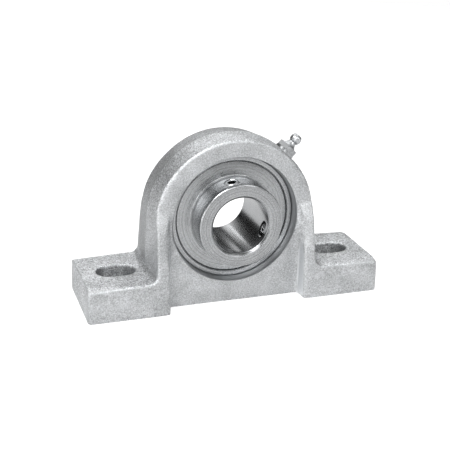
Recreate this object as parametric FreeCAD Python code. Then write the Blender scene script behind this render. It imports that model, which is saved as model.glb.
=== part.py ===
"""Pillow block bearing for a 31.75 mm shaft: a cast two-bolt housing that holds a
self-aligning ball bearing insert with set screws.

Millimetres, +Z up. X runs along the base, Y along the shaft with the set screw
collar towards -Y. The origin is on the underside, below the bearing centre.
"""
import FreeCAD, Part
import math
import os

from FreeCAD import Rotation, Vector

# Insert bearing, from the shaft outwards
SHAFT_BORE_RADIUS = 15.875
RACE_FLOOR = 5.295
BALL_RADIUS = 5.556
BALL_COUNT = 9
FIRST_BALL_ANGLE = 90.0
RACE_ROOF = 3.67
RACE_CLEARANCE = 0.02
INNER_RACE_DEPTH = 2.23
OUTER_RACE_DEPTH = 2.0
FRONT_OVERHANG = 25.4
REAR_OVERHANG = 17.5
RING_CHAMFER = 0.5
BORE_CHAMFER = 1.3
OUTER_RING_WIDTH = 20.0
OUTER_RING_CHAMFER = 0.4
GREASE_HOLE_RADIUS = 1.0

# Cage
CAGE_THICKNESS = 0.8
CAGE_HALF_WIDTH = 1.85
CAGE_POCKET_CLEARANCE = 0.10
RIVET_RADIUS = 0.6
RIVET_HEAD_RADIUS = 1.1
RIVET_HEAD_HEIGHT = 0.45
RIVET_HOLE_CLEARANCE = 0.02

# Seals and flingers
SEAL_GAP = 0.5
SEAL_PLATE = 0.8
SEAL_RECESS_WALL = 3.94
SEAL_FIT = 0.02
LIP_RUNNING_CLEARANCE = 0.05
LIP_HEIGHT = 1.2
LIP_POINT = 0.3
FLINGER_PLATE = 0.7
FLINGER_GAP = 0.6
FLINGER_RIM_GAP = 0.3
FLINGER_DISH = 0.5
FLINGER_HUB_WALL = 0.7
FLINGER_HUB_REACH = 0.4

# Set screws
SCREW_RADIUS = 4.0
SCREW_THREAD_CLEARANCE = 0.05
SCREW_LENGTH = 5.0
SCREW_TIP_INSET = 2.5
SCREW_END_DISTANCE = 7.0
SCREW_SOCKET_ACROSS_FLATS = 4.0
SCREW_SOCKET_DEPTH = 2.6
SCREW_CUP_RADIUS = 2.2
SCREW_CUP_DEPTH = 0.9
SCREW_CHAMFER = 0.6
SCREW_HOLE_CHAMFER = 0.5
TOP_SCREW_ANGLE = 100.0
SCREW_SPREAD = 120.0

# Housing
CENTRE_HEIGHT = 47.6
ARCH_WALL = 10.2
ARCH_HALF_DEPTH = 16.0
ARCH_DRAFT = 3.6
LEG_FLARE = 2.4
LEG_ROOT_FILLET = 4.5
LEG_PAD_WIDTH = 8.2
BASE_LENGTH = 168.2
BASE_HALF_DEPTH = 25.5
BASE_CORNER_RADIUS = 2.5
FOOT_HEIGHT = 18.8
FOOT_END_DRAFT = 1.5
FOOT_FACE_DRAFT = 4.2
CAST_EDGE_RADIUS = 1.5
BEVEL_END_WIDTH = 5.6
BEVEL_LEG_WIDTH = 0.5
BEVEL_LEG_GAP = 0.6
BEVEL_END_DROP = 1.4
SHOULDER_HEIGHT = 44.0
SHOULDER_HALF_DEPTH = 20.3
SHOULDER_RADIUS = 15.0
NECK_HEIGHT = 55.5
NECK_RADIUS = 10.0
POCKET_WALL_DRAFT = 4.0
BOLT_SPACING = 127.0
SLOT_LENGTH = 21.6
SLOT_WIDTH = 14.8
SLOT_RIM = 0.5
SEAT_CLEARANCE = 0.03
MOUTH_STEP = 0.4
MOUTH_FLARE = 0.45
MOUTH_EDGE = 0.35
LOADING_SLOT_CLEARANCE = 0.9
GREASE_GROOVE_HALF_WIDTH = 1.6
GREASE_GROOVE_DEPTH = 1.0

# Grease nipple
NIPPLE_ANGLE = 44.5
NIPPLE_THREAD_RADIUS = 4.8
NIPPLE_THREAD_CLEARANCE = 0.03
NIPPLE_THREAD_LENGTH = 5.4
NIPPLE_COLLAR_RADIUS = 5.9
NIPPLE_COLLAR_HEIGHT = 1.6
NIPPLE_HEX_ACROSS_FLATS = 11.1
NIPPLE_HEX_HEIGHT = 2.8
NIPPLE_SEAT_DEPTH = 0.7
NIPPLE_SEAT_MARGIN = 0.6
NIPPLE_CONE_RADIUS = 4.2
NIPPLE_NECK_RADIUS = 2.25
NIPPLE_NECK_HEIGHT = 3.0
NIPPLE_HEAD_RADIUS = 3.25
NIPPLE_HEAD_FACE_RADIUS = 1.9
NIPPLE_PASSAGE_RADIUS = 1.3
NIPPLE_MOUTH_RADIUS = 0.8
NIPPLE_MOUTH_LIP = 0.8
NIPPLE_FOOT_HOLE_RADIUS = 0.7
NIPPLE_FOOT_WALL = 0.6
CHECK_BALL_RADIUS = 1.15
CHECK_BALL_CLEARANCE = 0.02
SPRING_WIRE_RADIUS = 0.16
SPRING_PITCH = 1.5
SPRING_BALL_GAP = 0.1
SPRING_SIDE_CLEARANCE = 0.1
GREASE_PASSAGE_RADIUS = 1.5

# Sizes that follow from the ones above
PITCH_RADIUS = SHAFT_BORE_RADIUS + RACE_FLOOR + RACE_CLEARANCE + BALL_RADIUS
INNER_RING_RADIUS = SHAFT_BORE_RADIUS + RACE_FLOOR + INNER_RACE_DEPTH
OUTER_RACE_RADIUS = PITCH_RADIUS + BALL_RADIUS + RACE_CLEARANCE
SPHERE_RADIUS = OUTER_RACE_RADIUS + RACE_ROOF
OUTER_SHOULDER_RADIUS = OUTER_RACE_RADIUS - OUTER_RACE_DEPTH
SEAL_RECESS_RADIUS = SPHERE_RADIUS - SEAL_RECESS_WALL
POCKET_RADIUS = BALL_RADIUS + CAGE_POCKET_CLEARANCE
SEAL_START = POCKET_RADIUS + CAGE_THICKNESS + SEAL_GAP
SEAL_END = SEAL_START + SEAL_PLATE
FLINGER_START = SEAL_END + FLINGER_GAP
FLINGER_RADIUS = SEAL_RECESS_RADIUS - FLINGER_RIM_GAP
SCREW_PLANE = -FRONT_OVERHANG + SCREW_END_DISTANCE
SIDE_SCREW_ANGLE = TOP_SCREW_ANGLE - SCREW_SPREAD
ARCH_RADIUS = SPHERE_RADIUS + ARCH_WALL
SEAT_RADIUS = SPHERE_RADIUS + SEAT_CLEARANCE
MOUTH_RADIUS = math.sqrt(SPHERE_RADIUS ** 2 - (OUTER_RING_WIDTH / 2) ** 2) + MOUTH_STEP
NIPPLE_SEAT = ARCH_RADIUS - NIPPLE_SEAT_DEPTH

CENTRE = Vector(0, 0, CENTRE_HEIGHT)
ORIGIN = Vector(0, 0, 0)
ALONG_BASE = Vector(1, 0, 0)
SHAFT_AXIS = Vector(0, 1, 0)
UP = Vector(0, 0, 1)
OVERSHOOT = 5.0
TOUCH = 0.01


def tan(degrees):
    return math.tan(math.radians(degrees))


def radial(angle):
    """Unit vector in the plane of the bearing, angle in degrees from +X towards +Z."""
    return Vector(math.cos(math.radians(angle)), 0, math.sin(math.radians(angle)))


def rounded(corner, before, after, radius):
    """Start, middle and end of the arc that rounds a corner between two neighbours."""
    to_before = (before - corner).normalize()
    to_after = (after - corner).normalize()
    half = to_before.getAngle(to_after) / 2
    reach = radius / math.tan(half)
    inwards = (to_before + to_after).normalize()
    middle = corner + inwards * (radius / math.sin(half) - radius)
    return corner + to_before * reach, middle, corner + to_after * reach


def closed_face(edges):
    return Part.Face(Part.Wire(Part.__sortEdges__(edges)))


def rounded_face(corners):
    """Face through corners (point, radius), each rounded by its own radius."""
    arcs = []
    for index, (corner, radius) in enumerate(corners):
        before = corners[index - 1][0]
        after = corners[(index + 1) % len(corners)][0]
        arcs.append(rounded(corner, before, after, radius))
    edges = []
    for index, (start, middle, end) in enumerate(arcs):
        if (end - start).Length > 1e-6:
            edges.append(Part.Arc(start, middle, end).toShape())
        following = arcs[(index + 1) % len(arcs)][0]
        edges.append(Part.makeLine(end, following))
    return closed_face(edges)


def turned(profile):
    """Solid of revolution about the shaft axis from corners (radius, y)."""
    points = [Vector(radius, y, CENTRE_HEIGHT) for radius, y in profile]
    face = Part.Face(Part.makePolygon(points + points[:1]))
    return face.revolve(CENTRE, SHAFT_AXIS, 360)


def mirrored(shape):
    """The same piece on the other side of the ball plane."""
    return shape.mirror(ORIGIN, SHAFT_AXIS)


def on_ray(shape, direction, across=ORIGIN):
    """A piece built on +Z, laid on a ray from a point of the shaft axis."""
    placed = shape.copy()
    ray = FreeCAD.Placement(CENTRE + across, Rotation(UP, direction))
    placed.Placement = ray.multiply(placed.Placement)
    return placed


def rod(radius, start, end):
    return Part.makeCylinder(radius, end - start, Vector(0, 0, start))


def taper(start_radius, end_radius, start, end):
    return Part.makeCone(start_radius, end_radius, end - start, Vector(0, 0, start))


def hexagon(across_flats, start, end):
    corner = across_flats / math.sqrt(3)
    turns = [math.radians(60 * turn) for turn in range(6)]
    points = [Vector(corner * math.cos(turn), corner * math.sin(turn), start) for turn in turns]
    face = Part.Face(Part.makePolygon(points + points[:1]))
    return face.extrude(UP * (end - start))


def casting_outline(y):
    """Front view of the casting at depth y: feet, legs and arch, with moulding draft."""
    arch = ARCH_RADIUS - abs(y) * tan(ARCH_DRAFT)
    spring = radial(LEG_FLARE) * arch + Vector(0, y, CENTRE_HEIGHT)
    root_x = spring.x + (spring.z - FOOT_HEIGHT) * tan(LEG_FLARE)
    root = Vector(root_x, y, FOOT_HEIGHT)
    end = Vector(BASE_LENGTH / 2, y, 0)
    end_top = Vector(end.x - FOOT_HEIGHT * tan(FOOT_END_DRAFT), y, FOOT_HEIGHT)
    low, middle, high = rounded(root, end_top, spring, LEG_ROOT_FILLET)
    shoulder = radial(45) * arch + Vector(0, y, CENTRE_HEIGHT)
    crown = Vector(0, y, CENTRE_HEIGHT + arch)
    right = [
        Part.makeLine(end, end_top),
        Part.makeLine(end_top, low),
        Part.Arc(low, middle, high).toShape(),
        Part.makeLine(high, spring),
        Part.Arc(spring, shoulder, crown).toShape(),
    ]
    left = [edge.mirror(ORIGIN, ALONG_BASE) for edge in right]
    floor = Part.makeLine(end, Vector(-end.x, y, 0))
    return Part.Wire(Part.__sortEdges__(right + left + [floor]))


def casting_depth():
    """Side view: thick feet that neck in over the legs to the arch, as a solid along X."""
    top = CENTRE_HEIGHT + ARCH_RADIUS + OVERSHOOT
    foot_half_depth = BASE_HALF_DEPTH - FOOT_HEIGHT * tan(FOOT_FACE_DRAFT)
    front = [
        (BASE_HALF_DEPTH, 0, 0),
        (foot_half_depth, FOOT_HEIGHT, 0),
        (SHOULDER_HALF_DEPTH, SHOULDER_HEIGHT, SHOULDER_RADIUS),
        (ARCH_HALF_DEPTH, NECK_HEIGHT, NECK_RADIUS),
        (ARCH_HALF_DEPTH, top, 0),
    ]
    x = -BASE_LENGTH
    corners = [(Vector(x, -y, z), radius) for y, z, radius in front]
    corners += [(Vector(x, y, z), radius) for y, z, radius in reversed(front)]
    return rounded_face(corners).extrude(ALONG_BASE * (2 * BASE_LENGTH))


def plan_corners():
    """Plan view of the casting with its four upright corners rounded."""
    x = BASE_LENGTH / 2
    y = BASE_HALF_DEPTH
    spots = [(-x, -y), (x, -y), (x, y), (-x, y)]
    corners = [(Vector(a, b, -OVERSHOOT), BASE_CORNER_RADIUS) for a, b in spots]
    height = CENTRE_HEIGHT + ARCH_RADIUS + 2 * OVERSHOOT
    return rounded_face(corners).extrude(UP * height)


def pocket():
    """Recess between the front legs, back to the face of the arch."""
    deep = ARCH_RADIUS - LEG_PAD_WIDTH
    flare = (BASE_HALF_DEPTH + OVERSHOOT - ARCH_HALF_DEPTH) * tan(POCKET_WALL_DRAFT)
    low = -OVERSHOOT
    front = -BASE_HALF_DEPTH - OVERSHOOT
    corners = [
        Vector(-deep - flare, front, low),
        Vector(deep + flare, front, low),
        Vector(deep, -ARCH_HALF_DEPTH, low),
        Vector(-deep, -ARCH_HALF_DEPTH, low),
    ]
    face = Part.Face(Part.makePolygon(corners + corners[:1]))
    return face.extrude(UP * (NECK_HEIGHT + 2 * OVERSHOOT))


def foot_bevel():
    """Wedge taken off the front top edge of the right foot, wider towards its end."""
    end = BASE_LENGTH / 2
    leg = ARCH_RADIUS + LEG_ROOT_FILLET + BEVEL_LEG_GAP
    edge = BASE_HALF_DEPTH - FOOT_HEIGHT * tan(FOOT_FACE_DRAFT)
    leg_line = edge - BEVEL_LEG_WIDTH
    end_line = edge - BEVEL_END_WIDTH
    slope = (leg_line - end_line) / (end - leg)

    def bevel_point(x, y):
        line = leg_line - slope * (x - leg)
        return Vector(x, -y, FOOT_HEIGHT - (y - line) * BEVEL_END_DROP / BEVEL_END_WIDTH)

    far = end + OVERSHOOT
    out = BASE_HALF_DEPTH + OVERSHOOT
    far_line = leg_line - slope * (far - leg)
    points = [bevel_point(leg, leg_line), bevel_point(far, far_line)]
    points += [bevel_point(far, out), bevel_point(leg, out)]
    return Part.Face(Part.makePolygon(points + points[:1])).extrude(UP * OVERSHOOT)


def bolt_slot(x):
    """Slotted bolt hole through a foot, with a rounded rim at its top."""
    straight = SLOT_LENGTH / 2 - SLOT_WIDTH / 2

    def stadium(radius, low, high):
        ends = [
            Part.makeCylinder(radius, high - low, Vector(x + side * straight, 0, low))
            for side in (-1, 1)
        ]
        middle = Part.makeBox(2 * straight, 2 * radius, high - low,
                              Vector(x - straight, -radius, low))
        return ends[0].fuse([ends[1], middle]).removeSplitter()

    hole = stadium(SLOT_WIDTH / 2, -OVERSHOOT, FOOT_HEIGHT + OVERSHOOT)
    rims = []
    for side in (-1, 1):
        rims.append(Part.makeCone(SLOT_WIDTH / 2, SLOT_WIDTH / 2 + 2 * SLOT_RIM, 2 * SLOT_RIM,
                                  Vector(x + side * straight, 0, FOOT_HEIGHT - SLOT_RIM)))
    low = SLOT_WIDTH / 2
    high = low + 2 * SLOT_RIM
    base = FOOT_HEIGHT - SLOT_RIM
    spots = [(-low, base), (low, base), (high, base + 2 * SLOT_RIM), (-high, base + 2 * SLOT_RIM)]
    points = [Vector(x - straight, y, z) for y, z in spots]
    trough = Part.Face(Part.makePolygon(points + points[:1])).extrude(ALONG_BASE * (2 * straight))
    return hole.fuse(rims + [trough])


def housing_bore():
    """Mouths, spherical seat and grease groove, as one turned cutter."""
    ball = Part.makeSphere(SEAT_RADIUS, CENTRE)
    mouth_start = math.sqrt(SEAT_RADIUS ** 2 - MOUTH_RADIUS ** 2)
    face = ARCH_HALF_DEPTH
    mouth = turned([
        (0, 0),
        (MOUTH_RADIUS, mouth_start),
        (MOUTH_RADIUS + MOUTH_FLARE, face - MOUTH_EDGE),
        (MOUTH_RADIUS + MOUTH_FLARE + MOUTH_EDGE + OVERSHOOT, face + OVERSHOOT),
        (0, face + OVERSHOOT),
    ])
    groove = turned([
        (SPHERE_RADIUS - GREASE_GROOVE_DEPTH, -GREASE_GROOVE_HALF_WIDTH),
        (SEAT_RADIUS + GREASE_GROOVE_DEPTH, -GREASE_GROOVE_HALF_WIDTH),
        (SEAT_RADIUS + GREASE_GROOVE_DEPTH, GREASE_GROOVE_HALF_WIDTH),
        (SPHERE_RADIUS - GREASE_GROOVE_DEPTH, GREASE_GROOVE_HALF_WIDTH),
    ])
    span = Part.makeBox(4 * SEAT_RADIUS, 2 * mouth_start, 4 * SEAT_RADIUS,
                        Vector(-2 * SEAT_RADIUS, -mouth_start, CENTRE_HEIGHT - 2 * SEAT_RADIUS))
    return ball.common(span).fuse([mouth, mirrored(mouth), groove])


def loading_slots():
    """Two opposite notches in the rear mouth that let the ring in edgeways."""
    half_width = OUTER_RING_WIDTH / 2 + LOADING_SLOT_CLEARANCE / 2
    ring = Part.makeCylinder(SEAT_RADIUS + LOADING_SLOT_CLEARANCE, ARCH_HALF_DEPTH + OVERSHOOT,
                             CENTRE, SHAFT_AXIS)
    band = Part.makeBox(4 * SEAT_RADIUS, ARCH_HALF_DEPTH + OVERSHOOT, 2 * half_width,
                        Vector(-2 * SEAT_RADIUS, 0, CENTRE_HEIGHT - half_width))
    return ring.common(band)


def nipple_seat():
    """Spot face, tapped hole and passage for the grease nipple."""
    spot = NIPPLE_HEX_ACROSS_FLATS / math.sqrt(3) + NIPPLE_SEAT_MARGIN
    thread = NIPPLE_THREAD_RADIUS + NIPPLE_THREAD_CLEARANCE
    low = NIPPLE_SEAT - NIPPLE_THREAD_LENGTH - NIPPLE_THREAD_CLEARANCE
    cut = rod(spot, NIPPLE_SEAT, NIPPLE_SEAT + OVERSHOOT)
    cut = cut.fuse([
        rod(thread, low, NIPPLE_SEAT + OVERSHOOT),
        rod(GREASE_PASSAGE_RADIUS, SPHERE_RADIUS - GREASE_GROOVE_DEPTH, low),
    ])
    return on_ray(cut, radial(NIPPLE_ANGLE))


def edges_where(shape, test):
    """Edges of a shape whose points all pass a test."""
    chosen = []
    for edge in shape.Edges:
        length = edge.LastParameter - edge.FirstParameter
        points = [edge.valueAt(edge.FirstParameter + length * step / 4) for step in range(5)]
        if all(test(point) for point in points):
            chosen.append(edge)
    return chosen


def on_rim(point):
    """On the front outer edge of the legs and arch."""
    middle = ARCH_RADIUS - LEG_PAD_WIDTH / 2
    height = max(point.z - CENTRE_HEIGHT, 0)
    outside = math.hypot(point.x, height) > middle
    clear_of_foot = abs(point.x) < ARCH_RADIUS + LEG_ROOT_FILLET + BEVEL_LEG_GAP
    above_foot = point.z > FOOT_HEIGHT - TOUCH
    return outside and clear_of_foot and above_foot and point.y < -ARCH_HALF_DEPTH + TOUCH


def front_half():
    """Front half of the raw casting, its rim rounded and its pocket sunk."""
    front = casting_outline(-BASE_HALF_DEPTH - OVERSHOOT)
    block = Part.makeLoft([front, casting_outline(0)], True, True)
    block = block.common(casting_depth()).common(plan_corners())
    return block.makeFillet(CAST_EDGE_RADIUS, edges_where(block, on_rim)).cut(pocket())


def housing():
    half = front_half()
    bevel = foot_bevel()
    bevels = [bevel, bevel.mirror(ORIGIN, ALONG_BASE)]
    bevels += [mirrored(wedge) for wedge in bevels]
    slots = [bolt_slot(side * BOLT_SPACING / 2) for side in (-1, 1)]
    body = half.fuse(mirrored(half))
    return body.cut(bevels + slots + [housing_bore(), loading_slots(), nipple_seat()])


def outer_ring():
    """Spherical outside, ball groove and a recess for each seal, with its grease hole."""
    half = OUTER_RING_WIDTH / 2
    edge = OUTER_RING_CHAMFER
    tube = turned([
        (OUTER_SHOULDER_RADIUS, -SEAL_START),
        (SEAL_RECESS_RADIUS, -SEAL_START),
        (SEAL_RECESS_RADIUS, -half + edge),
        (SEAL_RECESS_RADIUS + edge, -half),
        (SPHERE_RADIUS, -half),
        (SPHERE_RADIUS, half),
        (SEAL_RECESS_RADIUS + edge, half),
        (SEAL_RECESS_RADIUS, half - edge),
        (SEAL_RECESS_RADIUS, SEAL_START),
        (OUTER_SHOULDER_RADIUS, SEAL_START),
    ])
    ring = tube.common(Part.makeSphere(SPHERE_RADIUS, CENTRE)).cut(race_groove())
    hole = rod(GREASE_HOLE_RADIUS, OUTER_SHOULDER_RADIUS - OVERSHOOT, SPHERE_RADIUS + OVERSHOOT)
    return ring.cut(on_ray(hole, radial(NIPPLE_ANGLE)))


def race_groove():
    """Ring of circular section that both ball grooves are cut with."""
    return Part.makeTorus(PITCH_RADIUS, BALL_RADIUS + RACE_CLEARANCE, CENTRE, SHAFT_AXIS)


def inner_ring():
    """Long ring with a collar at the front, ball groove and two tapped holes."""
    low = SHAFT_BORE_RADIUS
    high = INNER_RING_RADIUS
    ring = turned([
        (low + BORE_CHAMFER, -FRONT_OVERHANG),
        (high - RING_CHAMFER, -FRONT_OVERHANG),
        (high, -FRONT_OVERHANG + RING_CHAMFER),
        (high, REAR_OVERHANG - RING_CHAMFER),
        (high - RING_CHAMFER, REAR_OVERHANG),
        (low + BORE_CHAMFER, REAR_OVERHANG),
        (low, REAR_OVERHANG - BORE_CHAMFER),
        (low, -FRONT_OVERHANG + BORE_CHAMFER),
    ])
    thread = SCREW_RADIUS + SCREW_THREAD_CLEARANCE
    mouth = SCREW_HOLE_CHAMFER
    hole = rod(thread, low - OVERSHOOT, high + OVERSHOOT)
    sink = taper(thread, thread + mouth + OVERSHOOT, high - mouth, high + OVERSHOOT)
    holes = [on_ray(hole.fuse(sink), radial(angle), SHAFT_AXIS * SCREW_PLANE)
             for angle in (TOP_SCREW_ANGLE, SIDE_SCREW_ANGLE)]
    return ring.cut([race_groove()] + holes)


def spread(shape, shift=0.0):
    """Copies of a piece built above the centre, one per ball, shifted by part of a step."""
    step = 360 / BALL_COUNT
    copies = []
    for index in range(BALL_COUNT):
        copy = shape.copy()
        copy.rotate(CENTRE, SHAFT_AXIS, 90 - FIRST_BALL_ANGLE - (index + shift) * step)
        copies.append(copy)
    return copies


def balls():
    return spread(Part.makeSphere(BALL_RADIUS, CENTRE + UP * PITCH_RADIUS))


def cage_half():
    """Front half of the pressed ribbon: flats between the balls, cups over them."""
    low = PITCH_RADIUS - CAGE_HALF_WIDTH
    high = PITCH_RADIUS + CAGE_HALF_WIDTH
    reach = POCKET_RADIUS + CAGE_THICKNESS
    top = CENTRE + UP * PITCH_RADIUS
    flats = turned([(low, 0), (high, 0), (high, -CAGE_THICKNESS), (low, -CAGE_THICKNESS)])
    band = turned([(low, 0), (high, 0), (high, -2 * reach), (low, -2 * reach)])
    cup = Part.makeSphere(reach, top).common(band)
    pocket_ball = Part.makeSphere(POCKET_RADIUS, top)
    radius = RIVET_RADIUS + RIVET_HOLE_CLEARANCE
    hole = Part.makeCylinder(radius, 2 * OVERSHOOT, top - SHAFT_AXIS * OVERSHOOT, SHAFT_AXIS)
    ribbon = flats.fuse(spread(cup))
    return ribbon.cut(spread(pocket_ball) + spread(hole, 0.5))


def cage_rivet():
    """Round rivet with a flat head on each face of the ribbon."""
    axis = CENTRE + UP * PITCH_RADIUS
    reach = CAGE_THICKNESS
    shank = Part.makeCylinder(RIVET_RADIUS, 2 * reach, axis - SHAFT_AXIS * reach, SHAFT_AXIS)
    heads = [
        Part.makeCylinder(RIVET_HEAD_RADIUS, RIVET_HEAD_HEIGHT, axis + SHAFT_AXIS * start,
                          SHAFT_AXIS)
        for start in (-reach - RIVET_HEAD_HEIGHT, reach)
    ]
    return shank.fuse(heads)


def seal_carrier():
    """Pressed steel washer held in the recess of the outer ring."""
    low = INNER_RING_RADIUS + LIP_RUNNING_CLEARANCE + LIP_HEIGHT
    high = SEAL_RECESS_RADIUS - SEAL_FIT
    return turned([(low, -SEAL_START), (high, -SEAL_START), (high, -SEAL_END), (low, -SEAL_END)])


def seal_lip():
    """Rubber lip inside the carrier, thinned towards the ring it wipes."""
    high = INNER_RING_RADIUS + LIP_RUNNING_CLEARANCE + LIP_HEIGHT
    low = INNER_RING_RADIUS + LIP_RUNNING_CLEARANCE
    return turned([
        (high, -SEAL_START),
        (high, -SEAL_END),
        (low, -SEAL_START - LIP_POINT),
        (low, -SEAL_START),
    ])


def flinger():
    """Pressed disc on the inner ring that shields the seal, dished towards its hub."""
    bore = INNER_RING_RADIUS
    hub = bore + FLINGER_HUB_WALL
    rim = FLINGER_RADIUS
    start = -FLINGER_START
    return turned([
        (bore, start),
        (rim, start),
        (rim, start - FLINGER_PLATE),
        (hub, start - FLINGER_PLATE - FLINGER_DISH),
        (hub, start - FLINGER_PLATE - FLINGER_DISH - FLINGER_HUB_REACH),
        (bore, start - FLINGER_PLATE - FLINGER_DISH - FLINGER_HUB_REACH),
    ])


def set_screw(angle):
    """Headless screw with a hexagon socket outside and a cup at the shaft end."""
    tip = SHAFT_BORE_RADIUS + SCREW_TIP_INSET
    top = tip + SCREW_LENGTH
    edge = SCREW_CHAMFER
    inner = SCREW_RADIUS - edge
    body = taper(inner, SCREW_RADIUS, tip, tip + edge)
    body = body.fuse([rod(SCREW_RADIUS, tip + edge, top - edge),
                      taper(SCREW_RADIUS, inner, top - edge, top)])
    socket = hexagon(SCREW_SOCKET_ACROSS_FLATS, top - SCREW_SOCKET_DEPTH, top + OVERSHOOT)
    cup = taper(SCREW_CUP_RADIUS, 0, tip, tip + SCREW_CUP_DEPTH)
    return on_ray(body.cut([socket, cup]), radial(angle), SHAFT_AXIS * SCREW_PLANE)


def grease_nipple():
    """Nipple body: thread, collar, hexagon, neck and coupler head, hollow for its valve."""
    seat = NIPPLE_SEAT
    hex_base = seat + NIPPLE_COLLAR_HEIGHT
    hex_top = hex_base + NIPPLE_HEX_HEIGHT
    neck_top = hex_top + NIPPLE_NECK_HEIGHT
    foot = seat - NIPPLE_THREAD_LENGTH
    blunt = hexagon(NIPPLE_HEX_ACROSS_FLATS, hex_base, hex_top)
    crown = NIPPLE_HEX_ACROSS_FLATS / 2
    corner = NIPPLE_HEX_ACROSS_FLATS / math.sqrt(3)
    chamfer = corner - crown
    trim = rod(corner, hex_base, hex_top - chamfer)
    trim = trim.fuse(taper(corner, crown, hex_top - chamfer, hex_top))
    head = Part.makeSphere(NIPPLE_HEAD_RADIUS, Vector(0, 0, nipple_head_centre()))
    head = head.common(rod(NIPPLE_HEAD_RADIUS, neck_top, nipple_top()))
    solid = blunt.common(trim).fuse([
        rod(NIPPLE_THREAD_RADIUS, foot, seat),
        rod(NIPPLE_COLLAR_RADIUS, seat, hex_base),
        taper(NIPPLE_CONE_RADIUS, NIPPLE_NECK_RADIUS, hex_top, neck_top),
        rod(NIPPLE_NECK_RADIUS, neck_top, nipple_head_centre()),
        head,
    ])
    seal = valve_seat()
    hollow = rod(NIPPLE_PASSAGE_RADIUS, foot + NIPPLE_FOOT_WALL, seal)
    hollow = hollow.fuse([
        rod(NIPPLE_FOOT_HOLE_RADIUS, foot - OVERSHOOT, foot + NIPPLE_FOOT_WALL),
        taper(NIPPLE_PASSAGE_RADIUS, NIPPLE_MOUTH_RADIUS, seal, nipple_top()),
    ])
    return on_ray(solid.cut(hollow), radial(NIPPLE_ANGLE))


def nipple_head_centre():
    rise = math.sqrt(NIPPLE_HEAD_RADIUS ** 2 - NIPPLE_NECK_RADIUS ** 2)
    hex_top = NIPPLE_SEAT + NIPPLE_COLLAR_HEIGHT + NIPPLE_HEX_HEIGHT
    return hex_top + NIPPLE_NECK_HEIGHT + rise


def nipple_top():
    rise = math.sqrt(NIPPLE_HEAD_RADIUS ** 2 - NIPPLE_HEAD_FACE_RADIUS ** 2)
    return nipple_head_centre() + rise


def valve_seat():
    """Height where the passage starts to close on the check ball."""
    return nipple_top() - NIPPLE_MOUTH_LIP


def check_ball_height():
    """Centre height of the check ball when it rests in the cone of the mouth."""
    slope = math.atan2(NIPPLE_PASSAGE_RADIUS - NIPPLE_MOUTH_RADIUS, NIPPLE_MOUTH_LIP)
    reach = (CHECK_BALL_RADIUS + CHECK_BALL_CLEARANCE) / math.cos(slope)
    return valve_seat() + (NIPPLE_PASSAGE_RADIUS - reach) / math.tan(slope)


def nipple_ball():
    ball_shape = Part.makeSphere(CHECK_BALL_RADIUS, Vector(0, 0, check_ball_height()))
    return on_ray(ball_shape, radial(NIPPLE_ANGLE))


def nipple_spring():
    """Coil spring between the foot of the nipple and its check ball."""
    low = NIPPLE_SEAT - NIPPLE_THREAD_LENGTH + NIPPLE_FOOT_WALL + SPRING_WIRE_RADIUS
    high = check_ball_height() - CHECK_BALL_RADIUS - SPRING_WIRE_RADIUS - SPRING_BALL_GAP
    radius = NIPPLE_PASSAGE_RADIUS - SPRING_WIRE_RADIUS - SPRING_SIDE_CLEARANCE
    path = Part.makeHelix(SPRING_PITCH, high - low, radius)
    start = Vector(radius, 0, 0)
    section = Part.Wire(Part.makeCircle(SPRING_WIRE_RADIUS, start, Vector(0, 1, 0)))
    coil = Part.Wire(path).makePipeShell([section], True, True)
    coil.translate(UP * low)
    return on_ray(coil, radial(NIPPLE_ANGLE))


def pieces():
    """Every sub-part under its own name."""
    front_seal = seal_carrier()
    front_lip = seal_lip()
    front_flinger = flinger()
    front_cage = cage_half()
    rivets = Part.makeCompound(spread(cage_rivet(), 0.5))
    named = {
        "housing": housing(),
        "outer_ring": outer_ring(),
        "inner_ring": inner_ring(),
        "cage_front": front_cage,
        "cage_rear": mirrored(front_cage),
        "cage_rivets": rivets,
        "seal_carrier_front": front_seal,
        "seal_carrier_rear": mirrored(front_seal),
        "seal_lip_front": front_lip,
        "seal_lip_rear": mirrored(front_lip),
        "flinger_front": front_flinger,
        "flinger_rear": mirrored(front_flinger),
        "set_screw_top": set_screw(TOP_SCREW_ANGLE),
        "set_screw_side": set_screw(SIDE_SCREW_ANGLE),
        "grease_nipple": grease_nipple(),
        "nipple_ball": nipple_ball(),
        "nipple_spring": nipple_spring(),
    }
    for index, ball in enumerate(balls()):
        named[f"ball_{index + 1}"] = ball
    return named


os.makedirs("parts", exist_ok=True)
for name, shape in pieces().items():
    print(name, shape.isValid(), len(shape.Solids), round(shape.Volume, 2))
    shape.exportStep(f"parts/{name}.step")
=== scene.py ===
"""Looks of the pillow block bearing: cast housing, turned insert, screws and nipple.

Scene in metres, +Z up, sizes below in millimetres. The shaft axis runs along Y at
CENTRE_HEIGHT; the collar faces -Y.
"""

import math

import bmesh
import bpy
import numpy as np
from mathutils import Matrix, Vector


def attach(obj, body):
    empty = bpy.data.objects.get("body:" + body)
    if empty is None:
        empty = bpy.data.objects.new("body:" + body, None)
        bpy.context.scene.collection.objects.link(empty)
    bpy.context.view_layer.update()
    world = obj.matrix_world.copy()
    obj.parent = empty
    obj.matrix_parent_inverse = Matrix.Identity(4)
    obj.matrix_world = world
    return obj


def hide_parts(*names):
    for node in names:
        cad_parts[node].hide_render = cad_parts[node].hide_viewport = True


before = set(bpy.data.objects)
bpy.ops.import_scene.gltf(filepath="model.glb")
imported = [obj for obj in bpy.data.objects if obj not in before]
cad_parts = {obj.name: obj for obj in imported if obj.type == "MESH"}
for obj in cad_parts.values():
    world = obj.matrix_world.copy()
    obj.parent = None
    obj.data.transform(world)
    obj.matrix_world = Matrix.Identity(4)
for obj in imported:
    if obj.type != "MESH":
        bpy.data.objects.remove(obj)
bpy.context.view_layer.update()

MM = 0.001

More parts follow.
